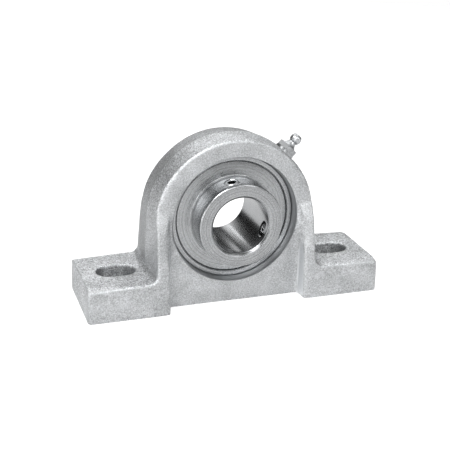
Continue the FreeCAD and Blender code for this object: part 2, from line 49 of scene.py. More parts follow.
# Sizes of the object, in millimetres and degrees
CENTRE_HEIGHT = 47.6
ARCH_RADIUS = 46.2
ARCH_DRAFT = 3.6
ARCH_HALF_DEPTH = 16.0
FOOT_HEIGHT = 18.8
SLOT_START = 52.0
POCKET_EDGE = 38.0
SEAT_RADIUS = 36.02
SPHERE_RADIUS = 35.992
MOUTH_RADIUS = 34.85
MOUTH_FLARE = 0.575
MOUTH_EDGE = 0.35
LOADING_SLOT_HALF_WIDTH = 10.45
LOADING_SLOT_RADIUS = 36.92
GREASE_GROOVE = 1.0
GREASE_GROOVE_HALF_WIDTH = 1.6
OUTER_HALF_WIDTH = 10.0
OUTER_SHOULDER = 30.322
SEAL_RECESS = 32.052
SEAL_START = 6.956
RACE_RADIUS = 5.576
PITCH_RADIUS = 26.746
BALLS = 9
BORE_RADIUS = 15.875
BORE_CHAMFER = 1.3
RING_CHAMFER = 0.5
COLLAR_RADIUS = 23.4
COLLAR_FRONT = -25.4
COLLAR_REAR = 17.5
SCREW_PLANE = -18.4
SCREW_RADIUS = 4.0
SCREW_HOLE_RADIUS = 4.05
SCREW_TIP = 18.375
SCREW_LENGTH = 5.0
TOP_SCREW_ANGLE = 100.0
SIDE_SCREW_ANGLE = -20.0
SCREW_CHAMFER = 0.6
SOCKET_FLAT = 2.0
SOCKET_LIP = 2.45
SOCKET_DEPTH = 2.6
THREAD_PITCH = 1.0
FLINGER_START = 8.356
FLINGER_RADIUS = 31.87
NIPPLE_SEAT = 45.5
NIPPLE_ANGLE = 44.5
NIPPLE_THREAD = 4.8
NIPPLE_FLATS = 11.1
NIPPLE_COLLAR = 5.9
NIPPLE_EDGE = 0.15
NIPPLE_PASSAGE = 1.3
NIPPLE_HEAD = 3.25
NIPPLE_NECK = 2.25
NIPPLE_MOUTH = 1.9
SPOT_RADIUS = 7.0

# How the pieces are meshed, in millimetres where no unit is named
ROUND = 192  # segments of a full turn
WELD = 1e-6  # metres
SAME_POINT = 1e-5
SAME_RADIUS = 1e-6
PAST = 4  # how far a cutter goes on past a face
THREAD_STEP = 0.125
PLUG_RADIUS = 39.5
PLUG_HALF_ANGLE = 11  # degrees, of the plug in the nipple's hole,
PLUG_HALF_DEPTH = 8.5  # its half depth along y
PLUG_FLOOR = 30  # and the radius of its inner skin
GRAIN = 0.66  # cell of the casting's even grid
EASING = 1  # rounds of easing everywhere,
POCKET_EASING = 16  # beside the pocket edges,
RUN_OUT_EASING = 128  # and where these edges run out into the arch
POCKET_REACH = 3  # full easing this near to the pocket edge, none at twice that
RUN_OUT_REACH = 4  # the same for the run-out, whose middle lies
RUN_OUT_SHIFT = 1.5  # this far inside the pocket edge
RUN_OUT_LOW, RUN_OUT_HIGH, RUN_OUT_FADE = 26, 50, 8  # heights, and where it fades in and out
REAR_LEAN = 1.0
LEAN_START, LEAN_FADE = 38, 4  # radius where the lean starts, and where it fades in
UNDERSIDE = 0.4  # points lower than this stay on the flat underside
LATTICE = 48  # cells of the random lattice along each axis
CAST_LUMPS = ((9.0, 0.05), (3.4, 0.03), (1.6, 0.03))  # (cell, height)
CAST_SINK = 0.1

# Where the tones of the casting fade, in millimetres: (0 at, 1 at), or for a band
# (0 at, 1 from, 1 to, 0 at)
BORE_FADE = (35.85, 35.7)
UPRIGHT_FADE = (14.9, 15.7)
FOOT_FACE_FADE = (FOOT_HEIGHT - 0.3, FOOT_HEIGHT - 0.9)
ARCH_FACE_FADE = (47.5, 46.5)
REAR_FADE = (-0.15, 0.15)
REAR_RADIUS_FADE = (43, 44)
REAR_FOOT_FADE = (FOOT_HEIGHT + 3, FOOT_HEIGHT + 5)
LEG_BAND = (42, 43, 49, 50)
LEG_FOOT_FADE = (FOOT_HEIGHT + 2, FOOT_HEIGHT + 4)
LEG_TOP_FADE = (50, 46)
SLOT_BAND = (SLOT_START - 0.5, SLOT_START + 0.5, 76, 77)
SLOT_SIDE_FADE = (7.4, 7.0)
SLOT_RIM_FADE = (FOOT_HEIGHT - 0.6, FOOT_HEIGHT - 2.2)
POCKET_WALL_BAND = (37.3, 37.8, 38.6, 39.0)
POCKET_WALL_FADE = (15.9, 16.6)
POCKET_TOP_FADE = (36, 26)

LINES_PER_MM = 4.0  # of turned steel

# Studio and camera, in metres, watts and degrees; the camera's distance and target are in
# millimetres, and its picture values in pixels
FLOOR_RADIUS = 1200  # millimetres
FLOOR_SHADE = 0.3
FLOOR_GLOW = (("Camera", 0.8), ("Glossy", 0.51), ("Transmission", 0.51))
ROOM_SHADE = 0.02
LAMP_DISTANCE = 1.3
LAMPS = (  # name, azimuth, elevation, power, size
    ("key_lamp", -60, 60, 15.4, 0.62),
    ("front_lamp", 0, 34, 4.9, 0.62),
    ("front_right_lamp", 36, 34, 4.7, 0.62),
    ("low_front_lamp", -32, 10, 4.8, 0.62),
    ("low_left_lamp", -88, 5, 5.4, 0.62),
    ("low_right_lamp", 60, 10, 1.8, 0.62),
    ("right_lamp", 112, 60, 3.6, 0.62),
    ("rear_lamp", 180, 58, 4.4, 0.62),
    ("rear_right_lamp", 148, 34, 1.7, 0.62),
    ("low_rear_lamp", 180, 12, 1.2, 0.62),
    ("streak_lamp", 184, 28, 0.11, 0.12),
    ("bore_lamp", 177, 26, 0.12, 0.3),
)
AZIMUTH = -19.13
ELEVATION = 21.03
ROLL = 1.58
DISTANCE = 544.05
TARGET = (0, 0, 40)
SENSOR = 36
IMAGE_SIDE = 450
FOCAL_PIXELS = 969.9
CENTRE_COLUMN = 226.35
CENTRE_ROW = 223.35

CENTRE = Vector((0, 0, CENTRE_HEIGHT * MM))
SHAFT = Matrix.Translation(CENTRE) @ Matrix.Rotation(math.radians(-90), 4, "X")


def on_ray(angle, y=0.0):
    """Frame whose Z runs outwards along a radius of the shaft axis, angle in degrees."""
    turn = Matrix.Rotation(math.radians(90 - angle), 4, "Y")
    return Matrix.Translation(CENTRE + Vector((0, y * MM, 0))) @ turn


def grid_faces(rows, columns, wrap_rows, wrap_columns):
    """Corner numbers of the cells of a grid of points, carried round where wrap is true."""
    row = np.arange(rows if wrap_rows else rows - 1)
    column = np.arange(columns if wrap_columns else columns - 1)
    a, b = np.meshgrid(row, column, indexing="ij")
    after_a = (a + 1) % rows
    after_b = (b + 1) % columns
    corners = [a * columns + b, a * columns + after_b,
               after_a * columns + after_b, after_a * columns + b]
    return np.stack(corners, -1).reshape(-1, 4)


def piece_from(name, points, faces, place=Matrix()):
    """Object at the origin whose mesh has these points, in millimetres in the frame of place,
    and these faces, each a list of corner numbers."""
    turn = np.array(place)
    world = points.reshape(-1, 3) * MM @ turn[:3, :3].T + turn[:3, 3]
    data = bpy.data.meshes.new(name)
    data.from_pydata(world.tolist(), [], faces)
    piece = bpy.data.objects.new(name, data)
    bpy.context.scene.collection.objects.link(piece)
    close_up(piece)
    return piece


def close_up(piece):
    """Merges doubled points, drops the faces that collapse and turns the rest outwards."""
    work = bmesh.new()
    work.from_mesh(piece.data)
    bmesh.ops.remove_doubles(work, verts=work.verts, dist=WELD)
    bmesh.ops.recalc_face_normals(work, faces=work.faces)
    work.to_mesh(piece.data)
    work.free()


def shade(piece, finish, sharp=32):
    """Smooth shading that stops at edges sharper than an angle in degrees."""
    data = piece.data
    data.polygons.foreach_set("use_smooth", np.ones(len(data.polygons), bool))
    data.set_sharp_from_angle(angle=math.radians(sharp))
    data.materials.clear()
    data.materials.append(finish.material)


def softened(corners, steps=4):
    """Closed profile through corners (radius, height, rounding). A corner P with rounding r
    becomes the curve (1-t)^2 S + 2t(1-t) P + t^2 E between points S and E on its two sides,
    both r from P along them."""
    points = np.array([corner[:2] for corner in corners], float)
    reach = np.array([corner[2] for corner in corners], float)[:, None]
    before = np.roll(points, 1, axis=0) - points
    after = np.roll(points, -1, axis=0) - points
    start = points + before / np.linalg.norm(before, axis=1)[:, None] * reach
    end = points + after / np.linalg.norm(after, axis=1)[:, None] * reach
    t = np.linspace(0, 1, steps + 1)[None, :, None]
    curve = (1 - t) ** 2 * start[:, None] + 2 * t * (1 - t) * points[:, None]
    curve = (curve + t ** 2 * end[:, None]).reshape(-1, 2)
    kept = np.linalg.norm(curve - np.roll(curve, 1, axis=0), axis=1) > SAME_POINT
    return curve[kept]


def arc(centre, radius, start, end, steps):
    """Points of a circular arc in a profile, angles in degrees from the radius direction."""
    turn = np.radians(np.linspace(start, end, steps))
    middle = np.array(centre)
    return middle + radius * np.stack([np.cos(turn), np.sin(turn)], -1)


def turned(name, profile, place=SHAFT, segments=ROUND, shape=None):
    """Closed surface of revolution: a profile point (r, h) goes to (r cos t, r sin t, h) for t
    from 0 to a full turn. shape(r, h, t) may give another r, as for a thread or a hexagon."""
    t = np.arange(segments) * 2 * np.pi / segments
    r = profile[:, :1] + 0 * t
    h = profile[:, 1:] + 0 * t
    if shape:
        r = shape(r, h, t)
    points = np.stack([r * np.cos(t), r * np.sin(t), h], -1)
    faces = grid_faces(len(profile), segments, True, True)
    return piece_from(name, points, faces.tolist(), place)


def prism(name, outline, low, high, place=Matrix()):
    """Straight solid over a closed outline (x, y), with a flat face at each end."""
    count = len(outline)
    levels = [np.column_stack([outline, np.full(count, z)]) for z in (low, high)]
    sides = grid_faces(2, count, False, True).tolist()
    ends = [list(range(count)), list(range(count, 2 * count))]
    return piece_from(name, np.concatenate(levels), sides + ends, place)


def settle(piece):
    """Writes the result of a piece's modifiers into its mesh."""
    depsgraph = bpy.context.evaluated_depsgraph_get()
    result = bpy.data.meshes.new_from_object(piece.evaluated_get(depsgraph))
    piece.modifiers.clear()
    piece.data = result


def cut(piece, cutters):
    """Takes the volume of each cutter out of the piece."""
    for cutter in cutters:
        step = piece.modifiers.new(cutter.name, "BOOLEAN")
        step.operation = "DIFFERENCE"
        step.solver = "MANIFOLD"
        step.object = cutter
    settle(piece)
    for cutter in cutters:
        bpy.data.objects.remove(cutter)
    return piece


def joined(pieces):
    """Puts the meshes of all the pieces into the first one and removes the others."""
    work = bmesh.new()
    for piece in pieces:
        work.from_mesh(piece.data)
    work.to_mesh(pieces[0].data)
    work.free()
    for piece in pieces[1:]:
        bpy.data.objects.remove(piece)
    return pieces[0]


def read_points(data):
    """Points of a mesh, in millimetres."""
    points = np.empty(len(data.vertices) * 3)
    data.vertices.foreach_get("co", points)
    return points.reshape(-1, 3) / MM


def write_points(data, points):
    """Moves the points of a mesh to these places, in millimetres."""
    data.vertices.foreach_set("co", (points * MM).ravel())
    data.update()


def read_edges(data):
    """Pairs of point numbers, one for each edge of a mesh."""
    edges = np.empty(len(data.edges) * 2, int)
    data.edges.foreach_get("vertices", edges)
    return edges.reshape(-1, 2)


def lumps(points, size, seed):
    """Smooth random height between -1 and 1: values on a cubic lattice of cells of one size,
    blended between the eight corners of a cell by 3t^2 - 2t^3 along each axis."""
    table = np.random.default_rng(seed).uniform(-1, 1, (LATTICE, LATTICE, LATTICE))
    cell = np.floor(points / size).astype(int)
    t = points / size - cell
    t = t * t * (3 - 2 * t)
    height = np.zeros(len(points))
    for corner in np.ndindex(2, 2, 2):
        at = (cell + corner) % LATTICE
        share = np.where(corner, t, 1 - t).prod(axis=1)
        height += share * table[at[:, 0], at[:, 1], at[:, 2]]
    return height


def eased(points, edges, rounds):
    """Each point moves half of the way to the mean of its neighbours, round after round."""
    count = np.bincount(edges.ravel(), minlength=len(points))[:, None]
    for _ in range(rounds):
        total = np.stack([
            np.bincount(edges[:, 0], points[edges[:, 1], axis], len(points))
            + np.bincount(edges[:, 1], points[edges[:, 0], axis], len(points))
            for axis in range(3)
        ], -1)
        points = (points + total / count) / 2
    return points


def merged_copy(node, name):
    """A copy of a CAD node with its doubled points merged."""
    piece = bpy.data.objects.new(name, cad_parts[node].data.copy())
    bpy.context.scene.collection.objects.link(piece)
    close_up(piece)
    return piece


def bore_plug():
    """Disc that fills the opening for the bearing from face to face."""
    half = ARCH_HALF_DEPTH
    return turned("bore_plug", np.array([[0, -half], [PLUG_RADIUS, -half],
                                         [PLUG_RADIUS, half], [0, half]]))


def nipple_plug():
    """Block that fills the nipple's hole flush with the arch, between two skins with points
    (r cos a, y, r sin a): the outer r falls with |y| by the draft, the inner r stays the same."""
    t = np.linspace(-1, 1, 25)
    a, y = np.meshgrid(np.radians(NIPPLE_ANGLE + PLUG_HALF_ANGLE * t), PLUG_HALF_DEPTH * t,
                       indexing="ij")
    outer = ARCH_RADIUS - np.abs(y) * math.tan(math.radians(ARCH_DRAFT))
    skins = [np.stack([r * np.cos(a), y, r * np.sin(a) + CENTRE_HEIGHT], -1)
             for r in (outer, 0 * outer + PLUG_FLOOR)]
    count = len(t)
    number = np.arange(count ** 2).reshape(count, count)
    rim = np.concatenate([number[0], number[1:, -1], number[-1, -2::-1], number[-2:0:-1, 0]])
    skin = grid_faces(count, count, False, False)
    wall = np.stack([rim, np.roll(rim, -1), np.roll(rim, -1) + count ** 2, rim + count ** 2], -1)
    faces = np.concatenate([skin, skin + count ** 2, wall])
    return piece_from("nipple_plug", np.stack(skins), faces.tolist())


def rounded_off(first, edges):
    """Points of the casting with its edges eased. Two masks, each 2 - distance / reach held
    between 0 and 1, add more rounds on the front and rear faces: one beside the pocket edges,
    and one where they run out into the arch."""
    aside, depth, z = np.abs(first[:, :1]), np.abs(first[:, 1:2]), first[:, 2:]
    points = eased(first, edges, EASING)
    at_pocket = np.clip(2 - np.abs(aside - POCKET_EDGE) / POCKET_REACH, 0, 1)
    at_pocket = at_pocket * (depth > ARCH_HALF_DEPTH - 1)
    points = points + (eased(points, edges, POCKET_EASING) - points) * at_pocket
    off_middle = np.abs(aside - POCKET_EDGE + RUN_OUT_SHIFT)
    run_out = np.clip(2 - off_middle / RUN_OUT_REACH, 0, 1)
    run_out = run_out * np.clip((z - RUN_OUT_LOW) / RUN_OUT_FADE, 0, 1)
    run_out = run_out * np.clip((RUN_OUT_HIGH - z) / RUN_OUT_FADE, 0, 1)
    run_out = run_out * (depth > ARCH_HALF_DEPTH - 3)
    return points + (eased(points, edges, RUN_OUT_EASING) - points) * run_out


def leaned(first, points):
    """Moves points behind the parting plane towards the shaft axis, by REAR_LEAN y / half depth.
    The move fades in outside a radius, and with the sine of the height angle s as 2.5 s - 0.75,
    so it is full on the arch and nothing on the legs."""
    away = first * (1, 0, 1) - (0, 0, CENTRE_HEIGHT)
    reach = np.linalg.norm(away, axis=1)[:, None]
    lean = REAR_LEAN * np.clip(first[:, 1:2] / ARCH_HALF_DEPTH, 0, 1)
    lean = lean * np.clip((reach - LEAN_START) / LEAN_FADE, 0, 1)
    lean = lean * np.clip(away[:, 2:] / reach * 2.5 - 0.75, 0, 1)
    return points - away / reach * lean


def cast_blank():
    """The casting before machining: the solid's form with its holes for the bearing and the
    nipple filled, remade on an even grid, rounded off, leaned in at the rear and roughened
    inwards by three sizes of lumps. The underside stays flat."""
    blank = joined([merged_copy("housing", "cast_housing"), bore_plug(), nipple_plug()])
    remake = blank.modifiers.new("even_grid", "REMESH")
    remake.mode = "VOXEL"
    remake.voxel_size = GRAIN * MM
    settle(blank)
    data = blank.data
    first = read_points(data)
    points = leaned(first, rounded_off(first, read_edges(data)))
    write_points(data, points)
    normals = np.empty(len(data.vertices) * 3)
    data.vertices.foreach_get("normal", normals)
    depth = sum(height * lumps(points, size, seed)
                for seed, (size, height) in enumerate(CAST_LUMPS))
    points = points + normals.reshape(-1, 3) * (depth - CAST_SINK)[:, None]
    points[:, 2] = np.where(first[:, 2] < UNDERSIDE, 0, points[:, 2])
    write_points(data, points)
    return blank


def bore_tool():
    """Cutter for the mouths, the spherical seat and its grease groove, both ends past the
    faces. Along the seat r = sqrt(R^2 - y^2)."""
    seat_end = math.sqrt(SEAT_RADIUS ** 2 - MOUTH_RADIUS ** 2)
    turn = math.degrees(math.atan2(seat_end, MOUTH_RADIUS))
    groove = math.degrees(math.asin(GREASE_GROOVE_HALF_WIDTH / SEAT_RADIUS))
    deep = SEAT_RADIUS + GREASE_GROOVE
    flare = MOUTH_RADIUS + MOUTH_FLARE
    past = ARCH_HALF_DEPTH + PAST
    face = ARCH_HALF_DEPTH - MOUTH_EDGE
    edge = softened([(MOUTH_RADIUS, seat_end, 0), (flare, face, 0.25),
                     (flare + MOUTH_EDGE + PAST, past, 0)])
    edge = edge[edge[:, 1] > seat_end + 0.01]
    half = np.concatenate([
        [(deep, 0), (deep, GREASE_GROOVE_HALF_WIDTH)],
        arc((0, 0), SEAT_RADIUS, groove, turn, 12),
        edge,
        [(0, past)],
    ])
    other = half[::-1] * (1, -1)
    return turned("bore_tool", np.concatenate([half, other[:-1]]))


def loading_tool():
    """Cutter for the two opposite notches in the rear mouth: |z| under the half width and
    inside the notch radius."""
    limit = math.degrees(math.asin(LOADING_SLOT_HALF_WIDTH / LOADING_SLOT_RADIUS))
    outline = np.concatenate([arc((0, 0), LOADING_SLOT_RADIUS, -limit, limit, 24),
                              arc((0, 0), LOADING_SLOT_RADIUS, 180 - limit, 180 + limit, 24)])
    return prism("loading_tool", outline, 0, ARCH_HALF_DEPTH + PAST, SHAFT)


def thread(radius, depth, low, high):
    """Shape of a screw thread: once per pitch r grows by depth in a V, or falls where depth is
    below 0. The V runs round as h / pitch - t / 2 pi and fades out within a pitch of both
    ends."""
    def shape(r, h, t):
        wave = np.abs((h / THREAD_PITCH - t / (2 * np.pi)) % 1 * 2 - 1)
        fade = np.clip(np.minimum(h - low, high - h) / THREAD_PITCH, 0, 1)
        on_thread = np.abs(r - radius) < SAME_RADIUS
        return np.where(on_thread, r + depth * wave * fade, r)
    return shape


def column(radius, low, high, step):
    """Straight run of a profile at one radius, in even steps of height."""
    heights = np.arange(low, high, step)
    return np.column_stack([np.full(len(heights), radius), heights])


def nipple_tool():
    """Cutter for the nipple's tapped hole, its spot face and the grease passage below."""
    seat, hole = NIPPLE_SEAT, NIPPLE_THREAD + 0.03
    hole_end = seat - 5.43
    profile = softened([
        (0, 33, 0), (1.5, 33, 0), (1.5, hole_end, 0), (hole, hole_end, 0), (hole, seat, 0),
        (SPOT_RADIUS, seat, 0.1), (SPOT_RADIUS, seat + PAST, 0), (0, seat + PAST, 0),
    ])
    return turned("nipple_tool", profile, on_ray(NIPPLE_ANGLE), 64)


def housing():
    """Machined casting."""
    return cut(cast_blank(), [bore_tool(), loading_tool(), nipple_tool()])


def outer_ring():
    """Ring with a spherical outside, ball groove and seal recesses."""
    limit = math.degrees(math.asin(OUTER_HALF_WIDTH / SPHERE_RADIUS))
    groove = math.degrees(math.acos((OUTER_SHOULDER - PITCH_RADIUS) / RACE_RADIUS))
    face = math.sqrt(SPHERE_RADIUS ** 2 - OUTER_HALF_WIDTH ** 2)
    side = softened([
        (OUTER_SHOULDER, SEAL_START, 0.15), (SEAL_RECESS, SEAL_START, 0.1),
        (SEAL_RECESS, OUTER_HALF_WIDTH - 0.4, 0.15), (SEAL_RECESS + 0.4, OUTER_HALF_WIDTH, 0.15),
        (face, OUTER_HALF_WIDTH, 0.12), (face, 0, 0), (OUTER_SHOULDER, 0, 0),
    ])
    side = side[side[:, 1] > 0.5]  # without the two helper corners on the middle plane
    profile = np.concatenate([
        arc((PITCH_RADIUS, 0), RACE_RADIUS, -groove, groove, 28),
        side,
        arc((0, 0), SPHERE_RADIUS, limit - 0.3, 0.3 - limit, 40),
        (side * (1, -1))[::-1],
    ])
    ring = turned("ground_outer_ring", profile)
    hole = turned("grease_hole", np.array([[0, 25], [1, 25], [1, 40], [0, 40]]),
                  on_ray(NIPPLE_ANGLE), 32)
    return cut(ring, [hole])


def inner_ring():
    """Collar, bore and ball groove, with two threaded and countersunk screw holes."""
    groove = math.degrees(math.acos((PITCH_RADIUS - COLLAR_RADIUS) / RACE_RADIUS))
    inside, edge = BORE_CHAMFER, RING_CHAMFER
    ring = softened([
        (BORE_RADIUS, COLLAR_REAR - inside, 0.15), (BORE_RADIUS, COLLAR_FRONT + inside, 0.15),
        (BORE_RADIUS + inside, COLLAR_FRONT, 0.15), (COLLAR_RADIUS - edge, COLLAR_FRONT, 0.25),
        (COLLAR_RADIUS, COLLAR_FRONT + edge, 0.25), (COLLAR_RADIUS, -8, 0),
        (COLLAR_RADIUS, 8, 0), (COLLAR_RADIUS, COLLAR_REAR - edge, 0.25),
        (COLLAR_RADIUS - edge, COLLAR_REAR, 0.25), (BORE_RADIUS + inside, COLLAR_REAR, 0.15),
    ])
    # The race goes in between the collar's corners in front of and behind the balls
    gap = np.flatnonzero((ring[:, 1] > 7) & (ring[:, 0] > 20))[0]
    race = arc((PITCH_RADIUS, 0), RACE_RADIUS, 180 + groove, 180 - groove, 28)
    piece = turned("turned_inner_ring", np.concatenate([ring[:gap], race, ring[gap:]]))
    return cut(piece, [screw_hole(TOP_SCREW_ANGLE), screw_hole(SIDE_SCREW_ANGLE)])


def screw_hole(angle):
    """Cutter for a tapped hole with a countersink at both ends, from inside the bore out past
    the collar."""
    r = SCREW_HOLE_RADIUS
    low, high = BORE_RADIUS - 0.1, COLLAR_RADIUS - 0.5
    profile = np.concatenate([
        [(0, low - 2.3), (r + 1.2, low - 2.3), (r + 1.2, low - 1.2)],
        column(r, low, high, THREAD_STEP),
        [(r, high), (r + 0.6, high + 0.6), (r + 0.6, high + PAST), (0, high + PAST)],
    ])
    return turned(f"screw_hole_{angle:.0f}", profile, on_ray(angle, SCREW_PLANE), 72,
                  thread(r, 0.35, low, high))


def set_screw(name, angle):
    """Headless screw: cup point, thread, end chamfer and hexagon socket in one surface whose
    radius is that of a hexagon, f / cos(t mod 60 - 30), where the profile is in the socket."""
    tip = SCREW_TIP
    top = tip + SCREW_LENGTH
    low, high = tip + SCREW_CHAMFER, top - SCREW_CHAMFER
    end = SCREW_RADIUS - SCREW_CHAMFER
    floor = top - SOCKET_DEPTH
    profile = np.concatenate([
        [(0, tip + 0.9), (2.0, tip + 0.08), (2.3, tip), (end, tip)],
        column(SCREW_RADIUS, low, high, THREAD_STEP),
        [(SCREW_RADIUS, high), (end, top), (SOCKET_LIP, top), (SOCKET_FLAT, top - 0.35),
         (SOCKET_FLAT, floor), (0, floor - 0.6)],
    ])
    groove = thread(SCREW_RADIUS, -0.5, low, high)

    def shape(r, h, t):
        corner = 1 / np.cos(t % (np.pi / 3) - np.pi / 6)
        in_socket = (np.abs(r - SOCKET_FLAT) < SAME_RADIUS) & (h > floor - 0.1)
        return np.where(in_socket, r * corner, groove(r, h, t))

    return turned(name, profile, on_ray(angle, SCREW_PLANE), 96, shape)


def nipple():
    """Grease nipple: collar, hexagon whose corners are cut by a cone,
    r = min(f / cos(t mod 60 - 30), cone(h)), then flared neck and coupler head."""
    seat = NIPPLE_SEAT
    base = seat + 1.6
    top = base + 2.8
    neck = top + 3
    thread_end = NIPPLE_THREAD - 0.5
    edge = NIPPLE_EDGE
    centre = neck + math.sqrt(NIPPLE_HEAD ** 2 - NIPPLE_NECK ** 2)
    mouth = centre + math.sqrt(NIPPLE_HEAD ** 2 - NIPPLE_MOUTH ** 2)
    corner = NIPPLE_FLATS / math.sqrt(3)
    start = math.degrees(math.asin((neck - centre) / NIPPLE_HEAD))
    finish = math.degrees(math.asin((mouth - centre) / NIPPLE_HEAD))
    hexagon = np.column_stack([np.linspace(corner, corner - 0.9, 12),
                               np.linspace(top - 0.6, top, 12)])
    profile = np.concatenate([
        [(0.7, seat - 5.4), (thread_end, seat - 5.4)],
        column(NIPPLE_THREAD, seat - 4.9, seat - 0.5, THREAD_STEP),
        [(thread_end, seat - 0.4), (thread_end, seat), (NIPPLE_COLLAR - edge, seat),
         (NIPPLE_COLLAR, seat + edge), (NIPPLE_COLLAR, base - edge),
         (NIPPLE_COLLAR - edge, base), (corner, base), (corner, base + 0.4)],
        hexagon,
        softened([(4.15, top - 3, 0), (4.25, top, 0.3), (2.6, neck - 1.4, 1.2),
                  (NIPPLE_NECK, neck, 0), (0, neck, 0), (0, top - 3, 0)], 6)[1:-3],
        arc((0, centre), NIPPLE_HEAD, start, finish, 20),
        [(1.75, mouth), (0.95, mouth), (0.8, mouth - 0.06), (NIPPLE_PASSAGE, mouth - 0.8),
         (NIPPLE_PASSAGE, seat - 4.8), (0.7, seat - 4.8)],
    ])

    def shape(r, h, t):
        flat = NIPPLE_FLATS / 2 / np.cos(t % (np.pi / 3) - np.pi / 6)
        on_hexagon = (h >= base) & (h <= top) & (r > NIPPLE_THREAD)
        return np.where(on_hexagon, np.minimum(r, flat), r)

    return turned("grease_nipple_body", profile, on_ray(NIPPLE_ANGLE), 120, shape)


def flinger(name, side):
    """Pressed disc: flat outer rim with a rolled edge, a shallow step, a dished middle and a
    hub pressed on the ring. side is -1 at the front and 1 at the rear."""
    start = FLINGER_START
    profile = softened([
        (COLLAR_RADIUS + 0.01, start, 0.1), (FLINGER_RADIUS, start, 0.15),
        (FLINGER_RADIUS, start + 0.7, 0.2), (COLLAR_RADIUS + 1.6, start + 1.2, 0.6),
        (COLLAR_RADIUS + 0.7, start + 1.3, 0.2), (COLLAR_RADIUS + 0.5, start + 1.6, 0.15),
        (COLLAR_RADIUS + 0.01, start + 1.6, 0.1),
    ])
    return turned(name, profile * (1, side))


class Signal:
    """A socket of a material; arithmetic on it adds Math nodes."""

    def __init__(self, finish, socket):
        self.finish = finish
        self.socket = socket

    def _math(self, operation, *values):
        return self.finish.node("ShaderNodeMath", {"operation": operation},
                                dict(enumerate(values)))

    def __add__(self, other):
        return self._math("ADD", self, other)

    def __sub__(self, other):
        return self._math("SUBTRACT", self, other)

    def __rsub__(self, other):
        return self._math("SUBTRACT", other, self)

    def __mul__(self, other):
        return self._math("MULTIPLY", self, other)

    def __pow__(self, other):
        return self._math("POWER", self, other)

    def __abs__(self):
        return (self * self) ** 0.5

    __radd__ = __add__
    __rmul__ = __mul__


class Finish:
    """A material of the object, worked out from object coordinates in millimetres."""

    def __init__(self, name, metallic=1.0):
        self.material = bpy.data.materials.new(name)
        self.material.use_nodes = True
        self.tree = self.material.node_tree
        self.shader = self.tree.nodes["Principled BSDF"]
        self.shader.inputs["Metallic"].default_value = metallic
        place = self.node("ShaderNodeTexCoord", output="Object")
        self.place = self.node("ShaderNodeVectorMath", {"operation": "SCALE"},
                               {"Vector": place, "Scale": 1 / MM})
        self.x, self.y, self.z = (
            self.node("ShaderNodeSeparateXYZ", {}, {"Vector": self.place}, axis)
            for axis in ("X", "Y", "Z")
        )

    def node(self, kind, settings=None, sockets=None, output=0):
        """Adds a node: its settings first, then the values or links of its sockets."""
        node = self.tree.nodes.new(kind)
        for setting, value in (settings or {}).items():
            setattr(node, setting, value)
        for socket, value in (sockets or {}).items():
            self.feed(node.inputs[socket], value)
        return Signal(self, node.outputs[output])

    def feed(self, socket, value):
        """Links a signal to a socket, or sets the socket to a value."""
        if isinstance(value, Signal):
            self.tree.links.new(value.socket, socket)
        else:
            socket.default_value = value

    def set(self, **values):
        """Values or links of the shader's own sockets."""
        for socket, value in values.items():
            self.feed(self.shader.inputs[socket.replace("_", " ")], value)

    def noise(self, scale, detail, roughness, place=None):
        """Noise between 0 and 1 at each place, scale in cells per millimetre."""
        return self.node("ShaderNodeTexNoise", {}, {
            "Vector": place or self.place, "Scale": scale, "Detail": detail,
            "Roughness": roughness})

    def fade(self, value, low, high):
        """0 below low, 1 above high, smooth between; low may be the larger."""
        return self.node("ShaderNodeMapRange", {"interpolation_type": "SMOOTHSTEP"},
                         {"Value": value, "From Min": low, "From Max": high})

    def band(self, value, low, full, still, high):
        """1 from full to still, 0 below low and above high, smooth between."""
        return self.fade(value, low, full) * self.fade(value, high, still)

    def blend(self, factor, first, second):
        return self.node("ShaderNodeMix", {"data_type": "RGBA"},
                         {0: factor, 6: first, 7: second}, 2)

    def vector(self, x, y, z):
        return self.node("ShaderNodeCombineXYZ", {}, {"X": x, "Y": y, "Z": z})

    def from_axis(self):
        """Distance from the shaft axis."""
        up = self.z - CENTRE_HEIGHT
        return (self.x * self.x + up * up) ** 0.5

    def on_ray(self, angle):
        """Distances along a radius of the shaft axis and aside of it, angle in degrees."""
        a = math.radians(angle)
        up = self.z - CENTRE_HEIGHT
        along = self.x * math.cos(a) + up * math.sin(a)
        aside = up * math.cos(a) - self.x * math.sin(a)
        return along, aside

    def relief(self, height, distance):
        """Feeds the normal with a height pattern whose full range is distance millimetres."""
        self.set(Normal=self.node("ShaderNodeBump", {}, {
            "Height": height, "Distance": distance * MM}))


def grey(value, warmth=-0.02):
    """Colour of one lightness, redder for a warmth above 0 and bluer below."""
    return (value * (1 + warmth), value, value * (1 - warmth), 1.0)


def tinted(finish, share, shade):
    """Blends the base colour towards a grey where share is 1."""
    base = Signal(finish, finish.shader.inputs["Base Color"].links[0].from_socket)
    finish.set(Base_Color=finish.blend(share, base, grey(shade)))


def near_screws(finish, radius, low, high):
    """1 inside a cylinder round either screw axis, between two distances from the shaft axis."""
    behind = finish.y - SCREW_PLANE
    inside = 0.0
    for angle in (TOP_SCREW_ANGLE, SIDE_SCREW_ANGLE):
        along, aside = finish.on_ray(angle)
        off = (aside * aside + behind * behind) ** 0.5
        reach = finish.fade(along, low, low + 0.2) * finish.fade(along, high, high - 0.1)
        inside = finish.fade(off, radius + 0.04, radius - 0.04) * reach + inside
    return inside


